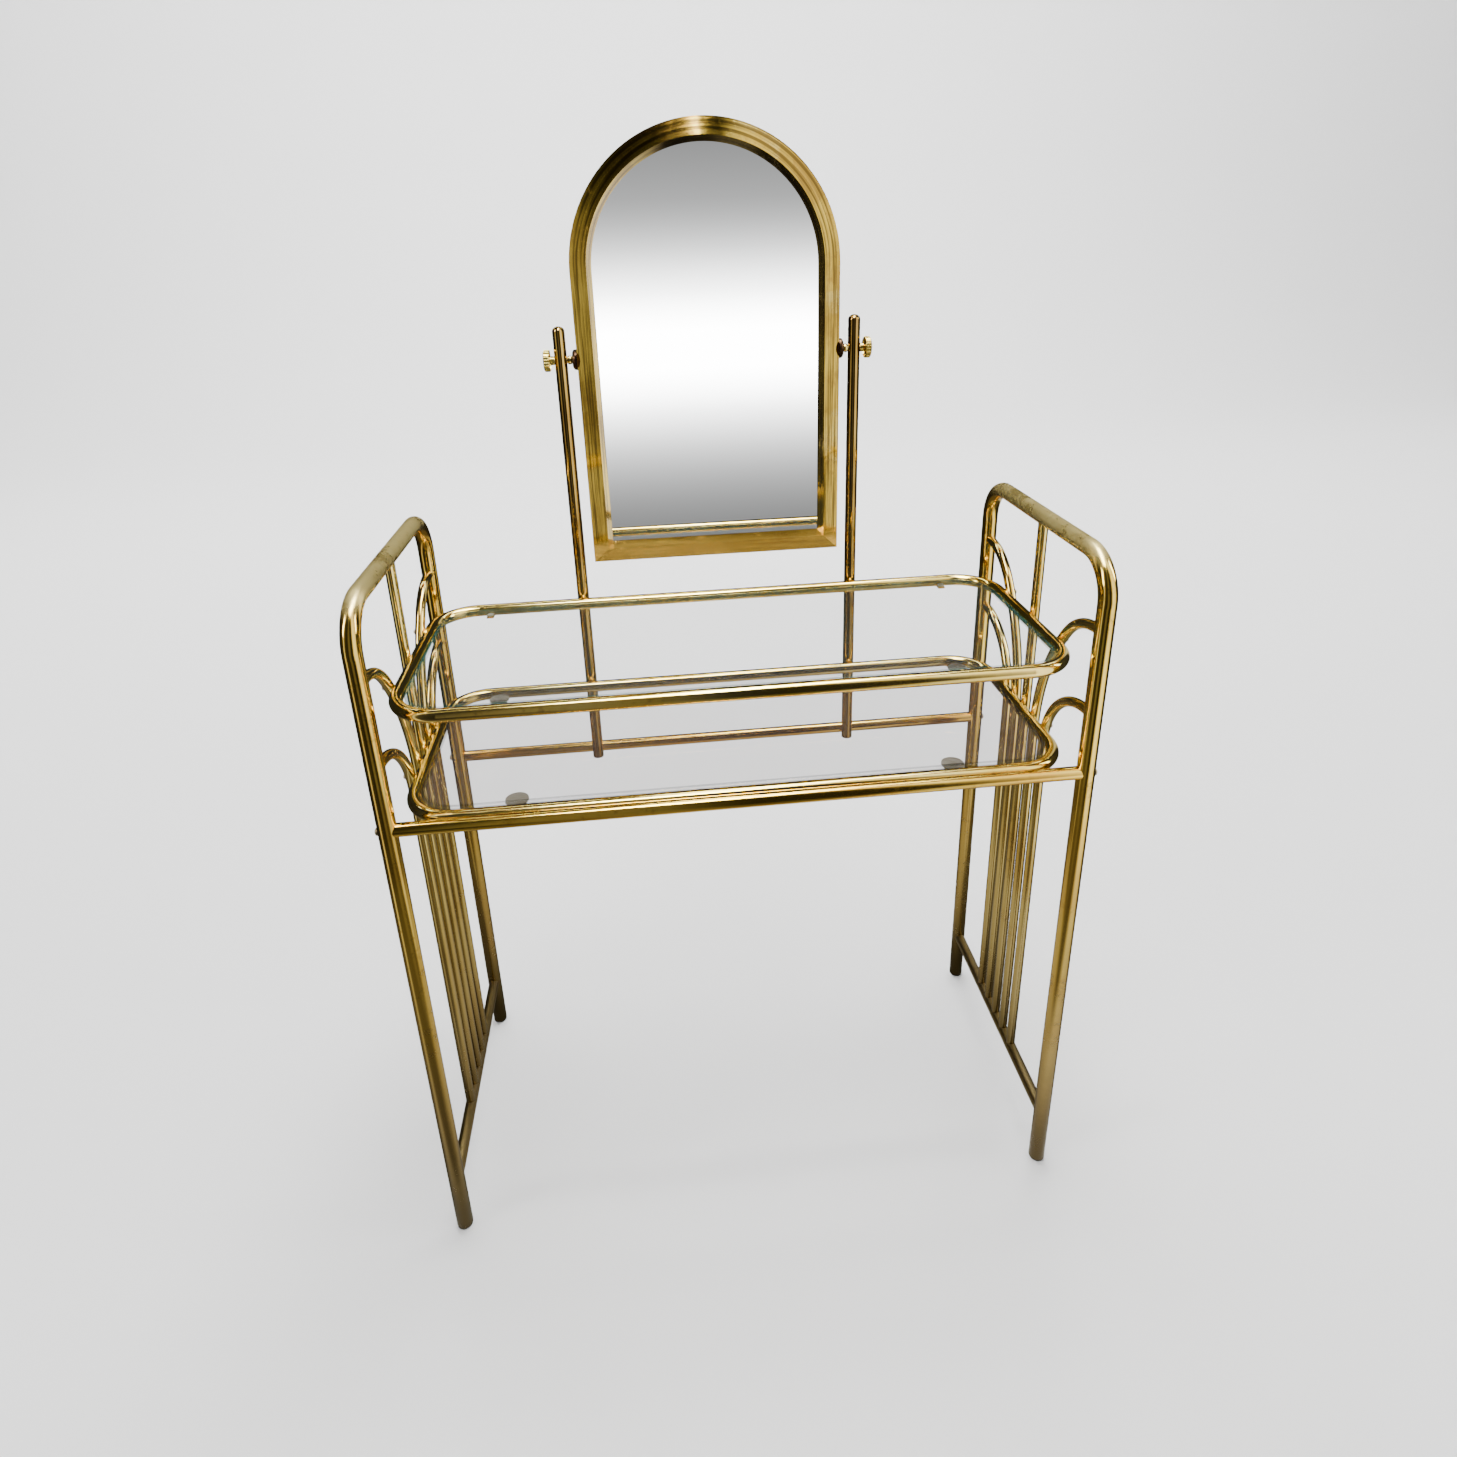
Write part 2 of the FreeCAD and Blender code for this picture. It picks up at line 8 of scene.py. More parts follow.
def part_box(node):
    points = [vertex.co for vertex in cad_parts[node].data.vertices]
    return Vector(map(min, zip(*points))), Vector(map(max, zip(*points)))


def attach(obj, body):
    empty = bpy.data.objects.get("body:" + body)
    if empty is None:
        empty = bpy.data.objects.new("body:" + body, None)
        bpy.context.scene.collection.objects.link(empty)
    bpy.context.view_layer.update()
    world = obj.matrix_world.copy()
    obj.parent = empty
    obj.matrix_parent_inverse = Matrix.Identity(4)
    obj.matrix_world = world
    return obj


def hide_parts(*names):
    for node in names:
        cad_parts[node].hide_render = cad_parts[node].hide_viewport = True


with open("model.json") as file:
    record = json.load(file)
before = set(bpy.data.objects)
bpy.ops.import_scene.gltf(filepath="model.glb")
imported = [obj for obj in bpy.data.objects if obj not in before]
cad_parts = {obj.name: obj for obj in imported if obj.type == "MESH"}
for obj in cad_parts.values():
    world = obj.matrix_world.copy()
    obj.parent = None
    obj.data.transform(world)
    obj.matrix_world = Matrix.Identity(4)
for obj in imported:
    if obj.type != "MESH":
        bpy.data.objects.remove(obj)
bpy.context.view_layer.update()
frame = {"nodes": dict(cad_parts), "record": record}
NODES = frame["nodes"]


# ---- small mesh helpers ------------------------------------------------------------
def deselect():
    bpy.ops.object.select_all(action="DESELECT")


def only(obj):
    deselect()
    obj.select_set(True)
    bpy.context.view_layer.objects.active = obj


def fresh(name):
    """The primitive just added, given its name."""
    obj = bpy.context.active_object
    obj.name = name
    obj.data.name = name
    return obj


def settle(obj):
    """Puts the object's place into its mesh."""
    only(obj)
    bpy.ops.object.transform_apply(location=True, rotation=True, scale=True)
    return obj


# ---- material helpers ----------------------------------------------------------------
class Recipe:
    """A tree of shader nodes with short ways to add to it."""

    def __init__(self, owner, place="Object"):
        owner.use_nodes = True
        self.owner = owner
        self.tree = owner.node_tree
        self.shader = self.tree.nodes.get("Principled BSDF")
        self.place = self.tree.nodes.new("ShaderNodeTexCoord").outputs[place]

    def node(self, kind, **inputs):
        made = self.tree.nodes.new(kind)
        for key, value in inputs.items():
            self.feed(made.inputs[key.replace("_", " ")], value)
        return made

    def feed(self, socket, value):
        if isinstance(value, bpy.types.NodeSocket):
            self.tree.links.new(value, socket)
        else:
            socket.default_value = value

    def stretched(self, x, y, z):
        made = self.node("ShaderNodeMapping", Vector=self.place)
        made.inputs["Scale"].default_value = (x, y, z)
        return made.outputs["Vector"]

    def noise(self, scale, detail=4.0, roughness=0.55, vector=None):
        made = self.node("ShaderNodeTexNoise", Vector=vector or self.place, Scale=scale,
                         Detail=detail, Roughness=roughness)
        return made.outputs["Fac"]

    def ramp(self, value, low, high):
        """Nought up to low, one from high on, and a smooth rise between."""
        made = self.node("ShaderNodeMapRange", Value=value)
        made.interpolation_type = "SMOOTHSTEP"
        made.inputs["From Min"].default_value = low
        made.inputs["From Max"].default_value = high
        return made.outputs["Result"]

    def levels_of(self, value, low, high):
        """The value's span from low to high laid out from nought to one."""
        made = self.node("ShaderNodeMapRange", Value=value)
        made.inputs["From Min"].default_value = low
        made.inputs["From Max"].default_value = high
        return made.outputs["Result"]

    def levels(self, value, low, high):
        """Nought to one laid out from low to high."""
        made = self.node("ShaderNodeMapRange", Value=value)
        made.inputs["To Min"].default_value = low
        made.inputs["To Max"].default_value = high
        return made.outputs["Result"]

    def maths(self, operation, a, b, clamp=False):
        made = self.tree.nodes.new("ShaderNodeMath")
        made.operation = operation
        made.use_clamp = clamp
        self.feed(made.inputs[0], a)
        self.feed(made.inputs[1], b)
        return made.outputs[0]

    def times(self, a, b):
        return self.maths("MULTIPLY", a, b, clamp=True)

    def plus(self, a, b):
        return self.maths("ADD", a, b, clamp=True)

    def measured(self, operation, vector, other=None):
        """A vector's length, or its dot product with another."""
        made = self.tree.nodes.new("ShaderNodeVectorMath")
        made.operation = operation
        self.feed(made.inputs[0], vector)
        if other:
            made.inputs[1].default_value = other
        return made.outputs["Value"]

    def blend(self, share, first, second):
        made = self.tree.nodes.new("ShaderNodeMix")
        made.data_type = "RGBA"
        self.feed(made.inputs[0], share)
        for socket, colour in ((made.inputs[6], first), (made.inputs[7], second)):
            self.feed(socket, colour if isinstance(colour, bpy.types.NodeSocket) else (*colour, 1.0))
        return made.outputs[2]

    def height(self):
        made = self.node("ShaderNodeSeparateXYZ", Vector=self.place)
        return made.outputs["Z"]

    def bump(self, value, distance, strength=0.5, under=None):
        made = self.node("ShaderNodeBump", Height=value, Distance=distance, Strength=strength)
        if under:
            self.feed(made.inputs["Normal"], under)
        return made.outputs["Normal"]

    def stops(self, value, tones, tint):
        """Tones along a value, each at its own place, all of one tint."""
        made = self.node("ShaderNodeValToRGB", Fac=value)
        stops = made.color_ramp.elements
        while len(stops) > 1:
            stops.remove(stops[-1])
        for place, bright in tones:
            stops.new(place).color = (*(bright * part for part in tint), 1.0)
        stops.remove(stops[0])
        return made

    def mixed(self, share, first, second, ending):
        """Two shaders mixed and led to the tree's output."""
        mix = self.node("ShaderNodeMixShader", Fac=share)
        self.tree.links.new(first.outputs[0], mix.inputs[1])
        self.tree.links.new(second.outputs[0], mix.inputs[2])
        self.tree.links.new(mix.outputs[0], self.tree.nodes[ending].inputs["Surface"])

    def set(self, **inputs):
        for key, value in inputs.items():
            self.feed(self.shader.inputs[key.replace("_", " ")], value)
        return self.owner


def new_recipe(name):
    return Recipe(bpy.data.materials.new(name))


# ---- brass -----------------------------------------------------------------------------
GOLD = (0.86, 0.60, 0.11)
PALE_GOLD = (0.92, 0.73, 0.25)
AMBER = (0.74, 0.44, 0.07)
RUBBED_GOLD = (0.34, 0.20, 0.035)
BASE_GOLD = (0.66, 0.38, 0.05)
LINE_BROWN = (0.085, 0.05, 0.009)
BROWN = (0.16, 0.085, 0.02)
OLIVE = (0.27, 0.21, 0.105)
FOOT_DARK = (0.03, 0.024, 0.014)
KHAKI = (0.82, 0.68, 0.27)
WORN_FROM, WORN_FULL = 0.840, 0.858         # heights of the wear on the top bars
BASE_ABOVE, BASE_FULL = 0.815, 0.803        # heights that set the mirror's base rail apart
OLIVE_FROM, OLIVE_FULL = 0.58, 0.10         # heights of the dull brass on the legs
FOOT_DARK_FROM, FOOT_DARK_FULL = 0.20, 0.01           # heights of the dark feet
LINE_SCALE = 330.0
LINE_DRIFT = 0.02                           # how slowly the drawn lines change along the frame


def drawn_lines(r, base):
    """Fine lines that run along the mirror frame: up its sides, round its arch and along its base."""
    low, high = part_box("mirror_frame_arch")
    arch_centre = high[2] - high[0]
    split = r.node("ShaderNodeSeparateXYZ", Vector=r.place)
    x, z = split.outputs["X"], split.outputs["Z"]
    rise = r.maths("MAXIMUM", r.maths("SUBTRACT", z, arch_centre), 0.0)
    reach = r.measured("LENGTH", r.node("ShaderNodeCombineXYZ", X=x, Z=rise).outputs[0])
    side = r.node("ShaderNodeCombineXYZ", X=reach, Z=r.maths("MULTIPLY", z, LINE_DRIFT))
    foot = r.node("ShaderNodeCombineXYZ", X=z, Z=r.maths("MULTIPLY", x, LINE_DRIFT))
    lines = [r.noise(LINE_SCALE, 3.0, 0.6, place.outputs[0]) for place in (side, foot)]
    return r.ramp(r.blend(base, *lines), 0.40, 0.62)


def worn_bar(r, patches, colour, rough):
    """Lacquer rubbed through on top of the side frames, where hands rest."""
    high = r.ramp(r.height(), WORN_FROM, WORN_FULL)
    rubbed = r.ramp(r.noise(22.0, 6.0, 0.7, r.stretched(1.0, 0.5, 1.0)), 0.34, 0.56)
    worn = r.times(high, r.levels(rubbed, 0.5, 1.0))
    r.set(Metallic=r.levels(worn, 1.0, 0.84))
    return r.blend(r.times(worn, 0.9), colour, KHAKI), r.plus(rough, r.times(worn, 0.20))


def smeared_frame(r, patches, colour, rough):
    """Smears, dull clouds and drawn lines on the mirror frame, and its duller base rail."""
    rubbed = r.ramp(r.noise(16.0, 7.0, 0.72, r.stretched(1.0, 1.0, 0.55)), 0.50, 0.60)
    colour = r.blend(r.times(rubbed, 0.65), colour, RUBBED_GOLD)
    dull = r.ramp(r.noise(11.0, 8.0, 0.75), 0.56, 0.64)
    colour = r.blend(r.times(dull, 0.3), colour, KHAKI)
    edge = r.plus(r.height(), r.levels(patches, -0.004, 0.004))
    base = r.ramp(edge, BASE_ABOVE, BASE_FULL)
    colour = r.blend(r.times(drawn_lines(r, base), 0.85), colour, LINE_BROWN)
    colour = r.blend(r.times(base, 0.6), colour, BASE_GOLD)
    r.set(Metallic=r.levels(base, 1.0, 0.75))
    return colour, r.plus(rough, r.times(dull, 0.16))


def dark_feet(r, patches, colour, rough):
    """Brass that turns olive and rougher towards the floor, and near-black at the feet."""
    low = r.ramp(r.plus(r.height(), r.levels(patches, -0.09, 0.09)), OLIVE_FROM, OLIVE_FULL)
    colour = r.blend(r.times(low, 0.75), colour, OLIVE)
    # Darker towards the bottom, near-black at the feet.
    foot = r.ramp(r.plus(r.height(), r.levels(patches, -0.05, 0.05)), FOOT_DARK_FROM, FOOT_DARK_FULL)
    return r.blend(r.times(foot, 0.75), colour, FOOT_DARK), r.plus(rough, r.times(low, 0.12))


def aged_brass(name, light, deep, tarnish=0.5, gloss=0.10, wear=None, feet=False):
    """Lacquered brass: cloudy tone, brown tarnish specks, fine rubbing marks."""
    r = new_recipe(name)
    cloud = r.ramp(r.noise(7.0, 3.0), 0.35, 0.7)
    colour = r.blend(cloud, light, deep)
    specks = r.noise(95.0, 8.0, 0.7)
    patches = r.noise(14.0, 6.0, 0.65)
    stain = r.times(r.ramp(specks, 0.50, 0.72), r.ramp(patches, 0.42, 0.68))
    stain = r.times(stain, tarnish)
    rub = r.noise(700.0, 3.0, 0.6)
    rough = r.plus(gloss, r.times(rub, 0.06))
    if wear:
        colour, rough = wear(r, patches, colour, rough)
    else:
        r.set(Metallic=1.0)
    colour = r.blend(stain, colour, BROWN)
    rough = r.plus(rough, r.times(stain, 0.30))
    if feet:
        colour, rough = dark_feet(r, patches, colour, rough)
    dents = r.bump(r.noise(38.0, 2.0), 0.0004, 0.2)
    grain = r.bump(rub, 0.00004, 0.3, dents)
    return r.set(Base_Color=colour, Roughness=rough, Normal=grain, Coat_Weight=0.15, Coat_Roughness=0.05)


# ---- other finishes ----------------------------------------------------------------------
def worn_steel(name, tone, dirt, gloss=0.26):
    """Small steel parts with blotches of dirt or rust."""
    r = new_recipe(name)
    blotch = r.ramp(r.noise(420.0, 6.0, 0.7), 0.4, 0.65)
    return r.set(Base_Color=r.blend(blotch, tone, dirt), Metallic=1.0,
                 Roughness=r.plus(gloss, r.times(blotch, 0.3)), Normal=r.bump(blotch, 0.0001, 0.3))


def clear_pane(name, tint, alpha):
    """Float glass seen through its faces, with a faint smear."""
    r = new_recipe(name)
    smear = r.noise(9.0, 5.0, 0.6)
    tone = r.blend(r.times(smear, 0.4), tint, (tint[0] * 0.7, tint[1] * 0.75, tint[2] * 0.7))
    return r.set(Base_Color=tone, Roughness=0.02, Alpha=alpha, IOR=1.52)


def pane_edge_and_painted_border(name, tint, deep, alpha):
    """Polished edge, where the glass shows its own colour; also the painted border band on the faces, a
    darker tint that stands in for the edge seen through the glass and for the brass reflected at the rim.
    """
    r = new_recipe(name)
    bands = r.ramp(r.noise(30.0, 3.0, 0.5), 0.35, 0.65)
    return r.set(Base_Color=r.blend(bands, tint, deep), Roughness=0.08, Alpha=alpha, IOR=1.52,
                 Normal=r.bump(r.noise(240.0, 3.0), 0.0001, 0.3))


def moulded(name, tone, dust, gloss):
    """Vinyl, plastic or rubber with a little dust and fine pores."""
    r = new_recipe(name)
    cloud = r.ramp(r.noise(60.0, 5.0), 0.35, 0.7)
    pores = r.noise(600.0, 4.0, 0.6)
    return r.set(Base_Color=r.blend(cloud, tone, dust), Roughness=r.plus(gloss, r.times(cloud, 0.15)),
                 Normal=r.bump(pores, 0.0002, 0.3))


def silvered():
    """Silvered plate: clean, with only the faintest cloud in the silver."""
    r = new_recipe("silvered_plate")
    haze = r.noise(5.0, 4.0)
    tone = r.blend(r.times(haze, 0.4), (0.95, 0.96, 0.96), (0.91, 0.92, 0.92))
    return r.set(Base_Color=tone, Metallic=1.0, Roughness=0.0)


def pressed_board():
    """Brown hardboard behind the mirror plate."""
    r = new_recipe("pressed_board")
    fibres = r.noise(260.0, 8.0, 0.75, r.stretched(1.0, 1.0, 0.35))
    cloud = r.noise(12.0, 4.0)
    colour = r.blend(r.ramp(fibres, 0.35, 0.7), (0.11, 0.062, 0.030), (0.18, 0.105, 0.052))
    colour = r.blend(r.times(cloud, 0.4), colour, (0.08, 0.045, 0.024))
    return r.set(Base_Color=colour, Roughness=0.78, Normal=r.bump(fibres, 0.0005, 0.5))


FINISHES = {
    "brass_side_frame": aged_brass("side_frame_brass", GOLD, (0.62, 0.38, 0.07),
                                   tarnish=0.7, gloss=0.09, wear=worn_bar, feet=True),
    "brass_low_rail": aged_brass("low_rail_brass", GOLD, (0.40, 0.26, 0.06),
                                 tarnish=0.9, gloss=0.16, feet=True),
    "brass_fan": aged_brass("fan_brass", PALE_GOLD, (0.60, 0.40, 0.09), tarnish=0.6, feet=True),
    "brass_cross_rail": aged_brass("cross_rail_brass", GOLD, AMBER, tarnish=0.6),
    "brass_ring": aged_brass("ring_brass", PALE_GOLD, GOLD, gloss=0.09),
    "brass_hidden": aged_brass("sleeve_brass", GOLD, AMBER, tarnish=0.6, gloss=0.20),
    "brass_tab": aged_brass("tab_brass", GOLD, AMBER, tarnish=0.6, gloss=0.20),
    # The posts get darker tones than the other brass: painted shade that stands in for their darker
    # reflections.
    "brass_post": aged_brass("post_brass", (0.52, 0.35, 0.09), (0.24, 0.135, 0.03),
                             tarnish=0.4, gloss=0.07),
    # The mirror frame's brass gets darker tones than the other brass: painted shade that stands in for its
    # darker reflections.
    "brass_mirror_frame": aged_brass("mirror_frame_brass", (0.66, 0.47, 0.075), (0.38, 0.24, 0.032),
                                     tarnish=0.6, gloss=0.07, wear=smeared_frame),
    "brass_spacer": aged_brass("spacer_brass", PALE_GOLD, GOLD, tarnish=0.3),
    "brass_knob": aged_brass("knob_brass", (0.82, 0.66, 0.18), (0.74, 0.55, 0.13),
                             tarnish=0.4, gloss=0.14),
    "glass_clear": clear_pane("table_pane", (0.05, 0.065, 0.06), 0.09),
    "glass_smoke": clear_pane("shelf_pane", (0.085, 0.06, 0.055), 0.22),
    "vinyl_clear": moulded("clear_vinyl", (0.30, 0.28, 0.22), (0.20, 0.18, 0.13), 0.2),
    "black_plastic": moulded("black_plug", (0.02, 0.02, 0.02), (0.06, 0.055, 0.05), 0.4),
    "steel_insert": worn_steel("insert_steel", (0.55, 0.55, 0.55), (0.3, 0.28, 0.25)),
    "steel_screw": worn_steel("screw_steel", (0.46, 0.36, 0.20), (0.07, 0.05, 0.03)),
    "steel_bolt": worn_steel("bolt_steel", (0.62, 0.50, 0.24), (0.2, 0.14, 0.06)),
    "rubber_foot": moulded("foot_rubber", (0.012, 0.011, 0.010), (0.03, 0.026, 0.02), 0.6),
    "mirror_silver": silvered(),
    "hardboard": pressed_board(),
    "bronze_dark": worn_steel("dark_bronze", (0.085, 0.045, 0.022), (0.02, 0.012, 0.008), 0.2),
}
# Painted border bands: darker tints near the rims of the panes, standing in for the edge seen through the
# glass and for reflections of the brass.
TABLE_PAINTED_BORDER = pane_edge_and_painted_border("table_pane_painted_border", (0.015, 0.085, 0.065), (0.006, 0.045, 0.036), 0.42)
TABLE_EDGE = pane_edge_and_painted_border("table_pane_edge", (0.06, 0.13, 0.105), (0.02, 0.06, 0.05), 0.35)
SHELF_PAINTED_BORDER = pane_edge_and_painted_border("shelf_pane_painted_border", (0.025, 0.022, 0.017), (0.010, 0.010, 0.008), 0.5)
SHELF_EDGE = pane_edge_and_painted_border("shelf_pane_edge", (0.07, 0.06, 0.05), (0.03, 0.027, 0.022), 0.35)


def finish_cad_nodes():
    """Gives each solid of the frame the finish of its material slot."""
    slots = {part["node"]: part["material_slot"] for part in frame["record"]["subparts"]}
    for name, obj in NODES.items():
        obj.data.materials.clear()
        obj.data.materials.append(FINISHES[slots[name]])


finish_cad_nodes()


# ---- glass panes ------------------------------------------------------------------------
PANE_CORNER = 0.0437        # radius of the round corners
PANE_ARRIS = 0.0007         # ground edge of the glass
PANE_PAINTED_BORDER = 0.0030        # band of painted reflection: a darker tint near the rim that stands in for the edge seen through the glass and the brass reflected there
BROAD_AREA = 0.05           # square metres, more than any edge face has
CORNER_STEPS = 24
ARRIS_STEPS = 2


def mark_edges(obj, wanted):
    """Selects the edges whose two end points pass the test."""
    only(obj)
    bpy.ops.object.mode_set(mode="EDIT")
    bpy.ops.mesh.select_mode(type="EDGE")
    bpy.ops.mesh.select_all(action="DESELECT")
    bpy.ops.object.mode_set(mode="OBJECT")
    points = obj.data.vertices
    for edge in obj.data.edges:
        first, last = (points[i].co for i in edge.vertices)
        edge.select = wanted(first, last)
    bpy.ops.object.mode_set(mode="EDIT")


def mark_broad_faces(obj):
    """Selects the pane's top and underside."""
    bpy.ops.object.mode_set(mode="EDIT")
    bpy.ops.mesh.select_mode(type="FACE")
    bpy.ops.mesh.select_all(action="DESELECT")
    bpy.ops.object.mode_set(mode="OBJECT")
    for face in obj.data.polygons:
        face.select = face.area > BROAD_AREA
    bpy.ops.object.mode_set(mode="EDIT")


def finish_pane(obj, finishes):
    """Faces, painted border band and upright edges each get their own finish."""
    for finish in finishes:
        obj.data.materials.append(finish)
    for face in obj.data.polygons:
        upright = abs(face.normal.z) < 0.5
        face.material_index = 0 if face.area > BROAD_AREA else (2 if upright else 1)


def glass_pane(node, name, finishes):
    """Float glass with round corners and a fine ground arris."""
    low, high = (Vector(corner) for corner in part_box(node))
    deselect()
    bpy.ops.mesh.primitive_cube_add(size=1.0, location=(low + high) / 2, scale=high - low)
    obj = settle(fresh(name))
    mark_edges(obj, lambda a, b: abs(a.z - b.z) > 0.001)
    bpy.ops.mesh.bevel(offset=PANE_CORNER, segments=CORNER_STEPS, affect="EDGES")
    bpy.ops.object.mode_set(mode="OBJECT")
    mark_edges(obj, lambda a, b: abs(a.z - b.z) < 1e-5)
    bpy.ops.mesh.bevel(offset=PANE_ARRIS, segments=ARRIS_STEPS, affect="EDGES")
    bpy.ops.object.mode_set(mode="OBJECT")
    mark_broad_faces(obj)
    # The inset ring is the painted border band, a painted reflection along the rim.
    bpy.ops.mesh.inset(thickness=PANE_PAINTED_BORDER)
    bpy.ops.mesh.normals_make_consistent(inside=False)
    bpy.ops.object.mode_set(mode="OBJECT")
    finish_pane(obj, finishes)
    only(obj)
    bpy.ops.object.shade_smooth_by_angle(angle=math.radians(30))
    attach(obj, "frame")
    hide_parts(node)


glass_pane("upper_glass", "table_pane", (FINISHES["glass_clear"], TABLE_PAINTED_BORDER, TABLE_EDGE))
glass_pane("lower_glass", "shelf_pane", (FINISHES["glass_smoke"], SHELF_PAINTED_BORDER, SHELF_EDGE))


# ---- what polished brass reflects --------------------------------------------------------
# Each lane is a place round the table and its brightness. The places run from nought at the
# left, by a quarter at the front and a half at the right, to one at the left again.
LEFT_LANES = ((0.000, 0.02), (0.055, 0.02), (0.072, 0.80), (0.090, 0.65), (0.101, 0.10))
FRONT_LANES = ((0.185, 0.015), (0.212, 0.14), (0.240, 0.12), (0.260, 0.015), (0.310, 0.02),
               (0.335, 0.90), (0.358, 1.60), (0.395, 1.40))
BACK_LANES = ((0.590, 0.02), (0.610, 0.55), (0.635, 0.50), (0.650, 0.02), (0.950, 0.015))
ROOM_RIGHT = ((0.415, 0.30), (0.440, 0.10), (0.455, 0.02))
FLOOR_RIGHT = ((0.440, 1.10), (0.455, 0.03))
ROOM_LANES = LEFT_LANES + ((0.112, 0.02),) + FRONT_LANES + ROOM_RIGHT + BACK_LANES
FLOOR_LANES = LEFT_LANES + ((0.112, 0.04),) + FRONT_LANES + FLOOR_RIGHT + BACK_LANES
WINDOW_TINT = (1.0, 0.97, 0.90)
SHADE = (0.13, 0.115, 0.085)
POOL = (0.42, 0.38, 0.28)
CEILING = (0.035, 0.032, 0.026)
ROOM_GLOW = 1.6
SKYLIGHT = (0.0, 0.92, 0.39)         # the way to the bright patch behind and above the table


def window_lanes(r, lanes):
    """Dark room with bright window lanes round the table."""
    around = r.node("ShaderNodeTexGradient", Vector=r.place)
    around.gradient_type = "RADIAL"
    return r.stops(around.outputs["Fac"], lanes, WINDOW_TINT).outputs["Color"]


def in_mirror(r, path):
    """One where the eye looks straight into the mirror plate."""
    first = r.maths("LESS_THAN", path.outputs["Glossy Depth"], 1.5)
    return r.times(path.outputs["Is Singular Ray"], first)


def gloss_only(r):
    """One for rays that leave satin or polished brass, nought for the mirror plate and the eye."""
    path = r.node("ShaderNodeLightPath")
    return r.maths("SUBTRACT", path.outputs["Is Glossy Ray"], in_mirror(r, path), clamp=True)


def dim_in_brass(r):
    """Polished brass sees the dark room in place of the pale paper."""
    away = r.measured("LENGTH", r.place)
    lanes = window_lanes(r, FLOOR_LANES)
    soft = r.blend(0.62, lanes, SHADE)
    nearness = r.levels(away, 1.0, 0.0)
    under = r.blend(r.ramp(nearness, 0.55, 0.85), soft, POOL)
    colour = r.blend(r.ramp(away, 0.75, 1.35), under, lanes)
    glow = r.node("ShaderNodeEmission", Color=colour, Strength=ROOM_GLOW)
    r.mixed(gloss_only(r), r.shader, glow, "Material Output")


# ---- stage -----------------------------------------------------------------------------
SWEEP_STEPS = 12
SWEEP_RISE = 0.26            # length of one step of the floor's curve
WALL_HEIGHT = 6.0
SCREEN_GLOW = 16.0
SCREEN_TOP = 1.6
SCREEN_TONES = ((0.00, 0.014), (0.08, 0.018), (0.18, 0.031), (0.28, 0.075), (0.37, 0.25), (0.44, 0.85),
                (0.50, 1.20), (0.56, 1.00), (0.63, 0.32), (0.72, 0.075), (0.82, 0.032), (1.00, 0.017))
AIR = 5.0


def paper(name, tone, cloudy):
    r = new_recipe(name)
    cloud = r.noise(1.5, 3.0)
    r.set(Base_Color=r.blend(r.times(cloud, 0.1), tone, cloudy), Roughness=0.9, Specular_IOR_Level=0.1)
    dim_in_brass(r)
    return r.owner


def sweep_floor():
    """Pale floor that curves up into a back wall."""
    bpy.ops.mesh.primitive_plane_add(size=1.0, location=(0, 0, 0))
    obj = fresh("pale_floor")
    obj.scale = (14.0, 9.0, 1.0)
    settle(obj)
    for edge in obj.data.edges:
        edge.select = all(obj.data.vertices[i].co.y > 4.0 for i in edge.vertices)
    bpy.ops.object.mode_set(mode="EDIT")
    for step in range(SWEEP_STEPS):
        angle = math.radians(90.0 * (step + 0.5) / SWEEP_STEPS)
        rise = (0, SWEEP_RISE * math.cos(angle), SWEEP_RISE * math.sin(angle))
        bpy.ops.mesh.extrude_region_move(TRANSFORM_OT_translate={"value": rise})
    bpy.ops.mesh.extrude_region_move(TRANSFORM_OT_translate={"value": (0, 0, WALL_HEIGHT)})
    bpy.ops.object.mode_set(mode="OBJECT")
    bpy.ops.object.shade_smooth()
    obj.data.materials.append(paper("floor_paper", (0.94, 0.94, 0.94), (0.86, 0.86, 0.85)))


def screen_glow():
    """Grey at the foot, white at table height, grey again towards the top; clear but in the mirror."""
    r = new_recipe("screen_glow")
    curve = r.stops(r.levels_of(r.height(), 0.0, SCREEN_TOP), SCREEN_TONES, (1.0, 1.0, 1.0))
    curve.color_ramp.interpolation = "B_SPLINE"
    glow = r.node("ShaderNodeEmission", Color=curve.outputs["Color"], Strength=SCREEN_GLOW)
    clear = r.node("ShaderNodeBsdfTransparent")
    path = r.node("ShaderNodeLightPath")
    r.mixed(in_mirror(r, path), clear, glow, "Material Output")
    return r.owner


def front_screen():
    """Graded screen in front of the table that only the mirror plate shows."""
    bpy.ops.mesh.primitive_plane_add(size=1.0, location=(0.1, -2.0, 1.0), rotation=(math.radians(90), 0, 0))
    obj = fresh("front_screen")
    obj.scale = (9.0, 2.0, 1.0)
    settle(obj)
    obj.data.materials.append(screen_glow())


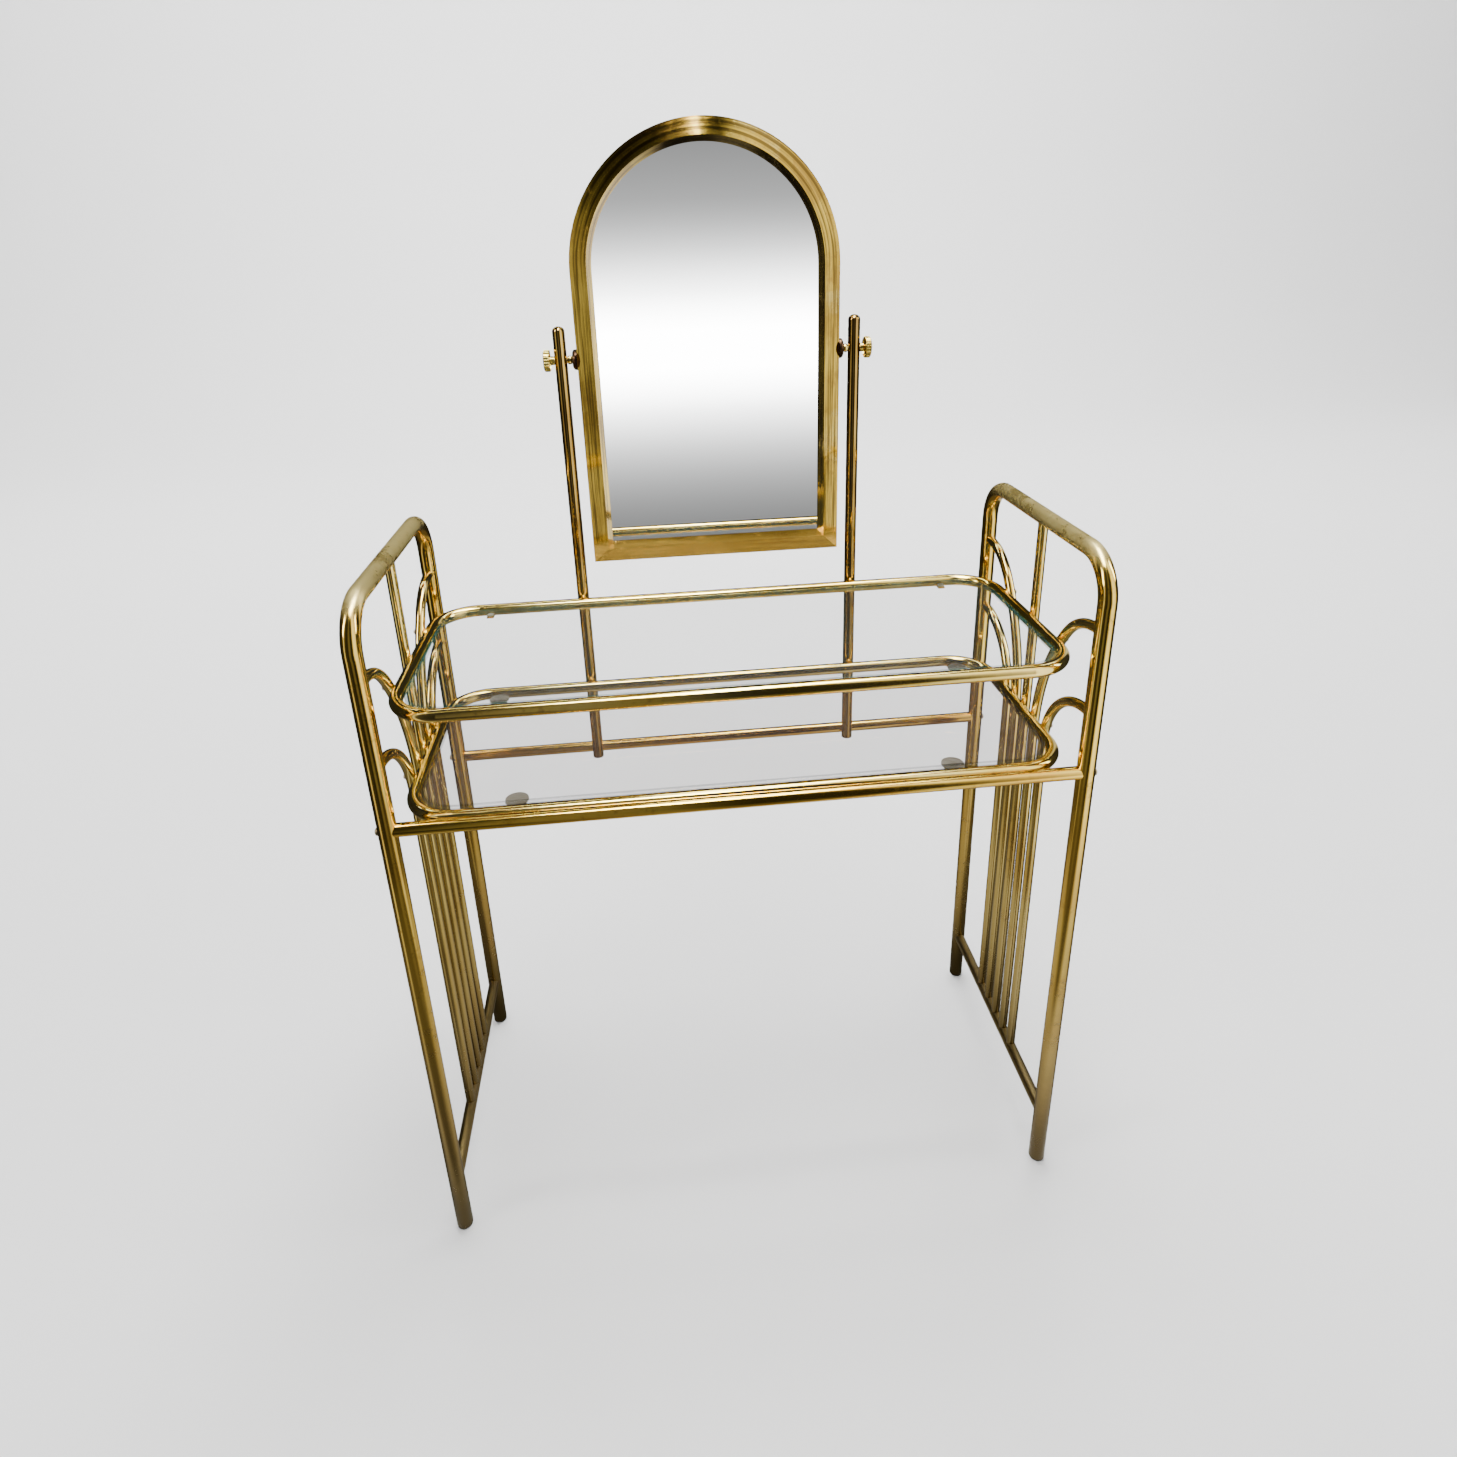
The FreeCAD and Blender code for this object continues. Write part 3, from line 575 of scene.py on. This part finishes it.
def soft_light(name, place, aim, size, power):
    data = bpy.data.lights.new(name, "AREA")
    data.shape = "RECTANGLE"
    data.size, data.size_y = size
    data.energy = power
    lamp = bpy.data.objects.new(name, data)
    bpy.context.scene.collection.objects.link(lamp)
    lamp.location = place
    lamp.rotation_euler = (Vector(aim) - Vector(place)).to_track_quat("-Z", "Y").to_euler()


def room_air():
    """Even pale air for the floor, a dark room with window lanes for polished brass."""
    world = bpy.data.worlds.new("room_air")
    r = Recipe(world, "Generated")
    air = r.tree.nodes["Background"]
    air.inputs["Color"].default_value = (0.75, 0.75, 0.75, 1.0)
    air.inputs["Strength"].default_value = AIR
    patch = r.ramp(r.measured("DOT_PRODUCT", r.place, SKYLIGHT), 0.74, 0.92)
    lanes = r.blend(r.ramp(r.height(), 0.16, 0.42), window_lanes(r, ROOM_LANES), CEILING)
    colour = r.blend(patch, lanes, WINDOW_TINT)
    room = r.node("ShaderNodeBackground", Color=colour, Strength=ROOM_GLOW)
    r.mixed(gloss_only(r), air, room, "World Output")
    bpy.context.scene.world = world


def studio():
    sweep_floor()
    front_screen()
    soft_light("overhead", (0.2, -0.1, 3.4), (0, 0, 0.4), (2.2, 0.9), 150.0)
    soft_light("left_strip", (-2.6, -1.0, 2.2), (0, 0, 0.7), (0.5, 1.6), 40.0)
    soft_light("right_strip", (2.7, -0.5, 2.2), (0, 0, 0.7), (0.5, 1.6), 40.0)
    soft_light("wall_wash", (0.0, 2.4, 4.2), (0, 6.0, 1.0), (7.0, 1.2), 420.0)
    room_air()


studio()


# ---- camera ------------------------------------------------------------------------------
EYE = (-0.08362, -0.97357, 1.17186)
RIGHT = Vector((0.9948878, -0.0957656, -0.0320516))
DOWN = Vector((-0.0638144, -0.3501862, -0.9345038))
AHEAD = Vector((0.0782692, 0.9317717, -0.3545072))


def set_camera():
    data = bpy.data.cameras.new("eye")
    data.sensor_width = 36.0
    data.lens = 22.0
    data.shift_x = 0.0021
    data.shift_y = -0.1031
    data.clip_start = 0.05
    data.clip_end = 60.0
    camera = bpy.data.objects.new("eye", data)
    bpy.context.scene.collection.objects.link(camera)
    turn = Matrix((RIGHT, -DOWN, -AHEAD)).transposed()
    camera.matrix_world = Matrix.Translation(EYE) @ turn.to_4x4()
    bpy.context.scene.camera = camera


set_camera()
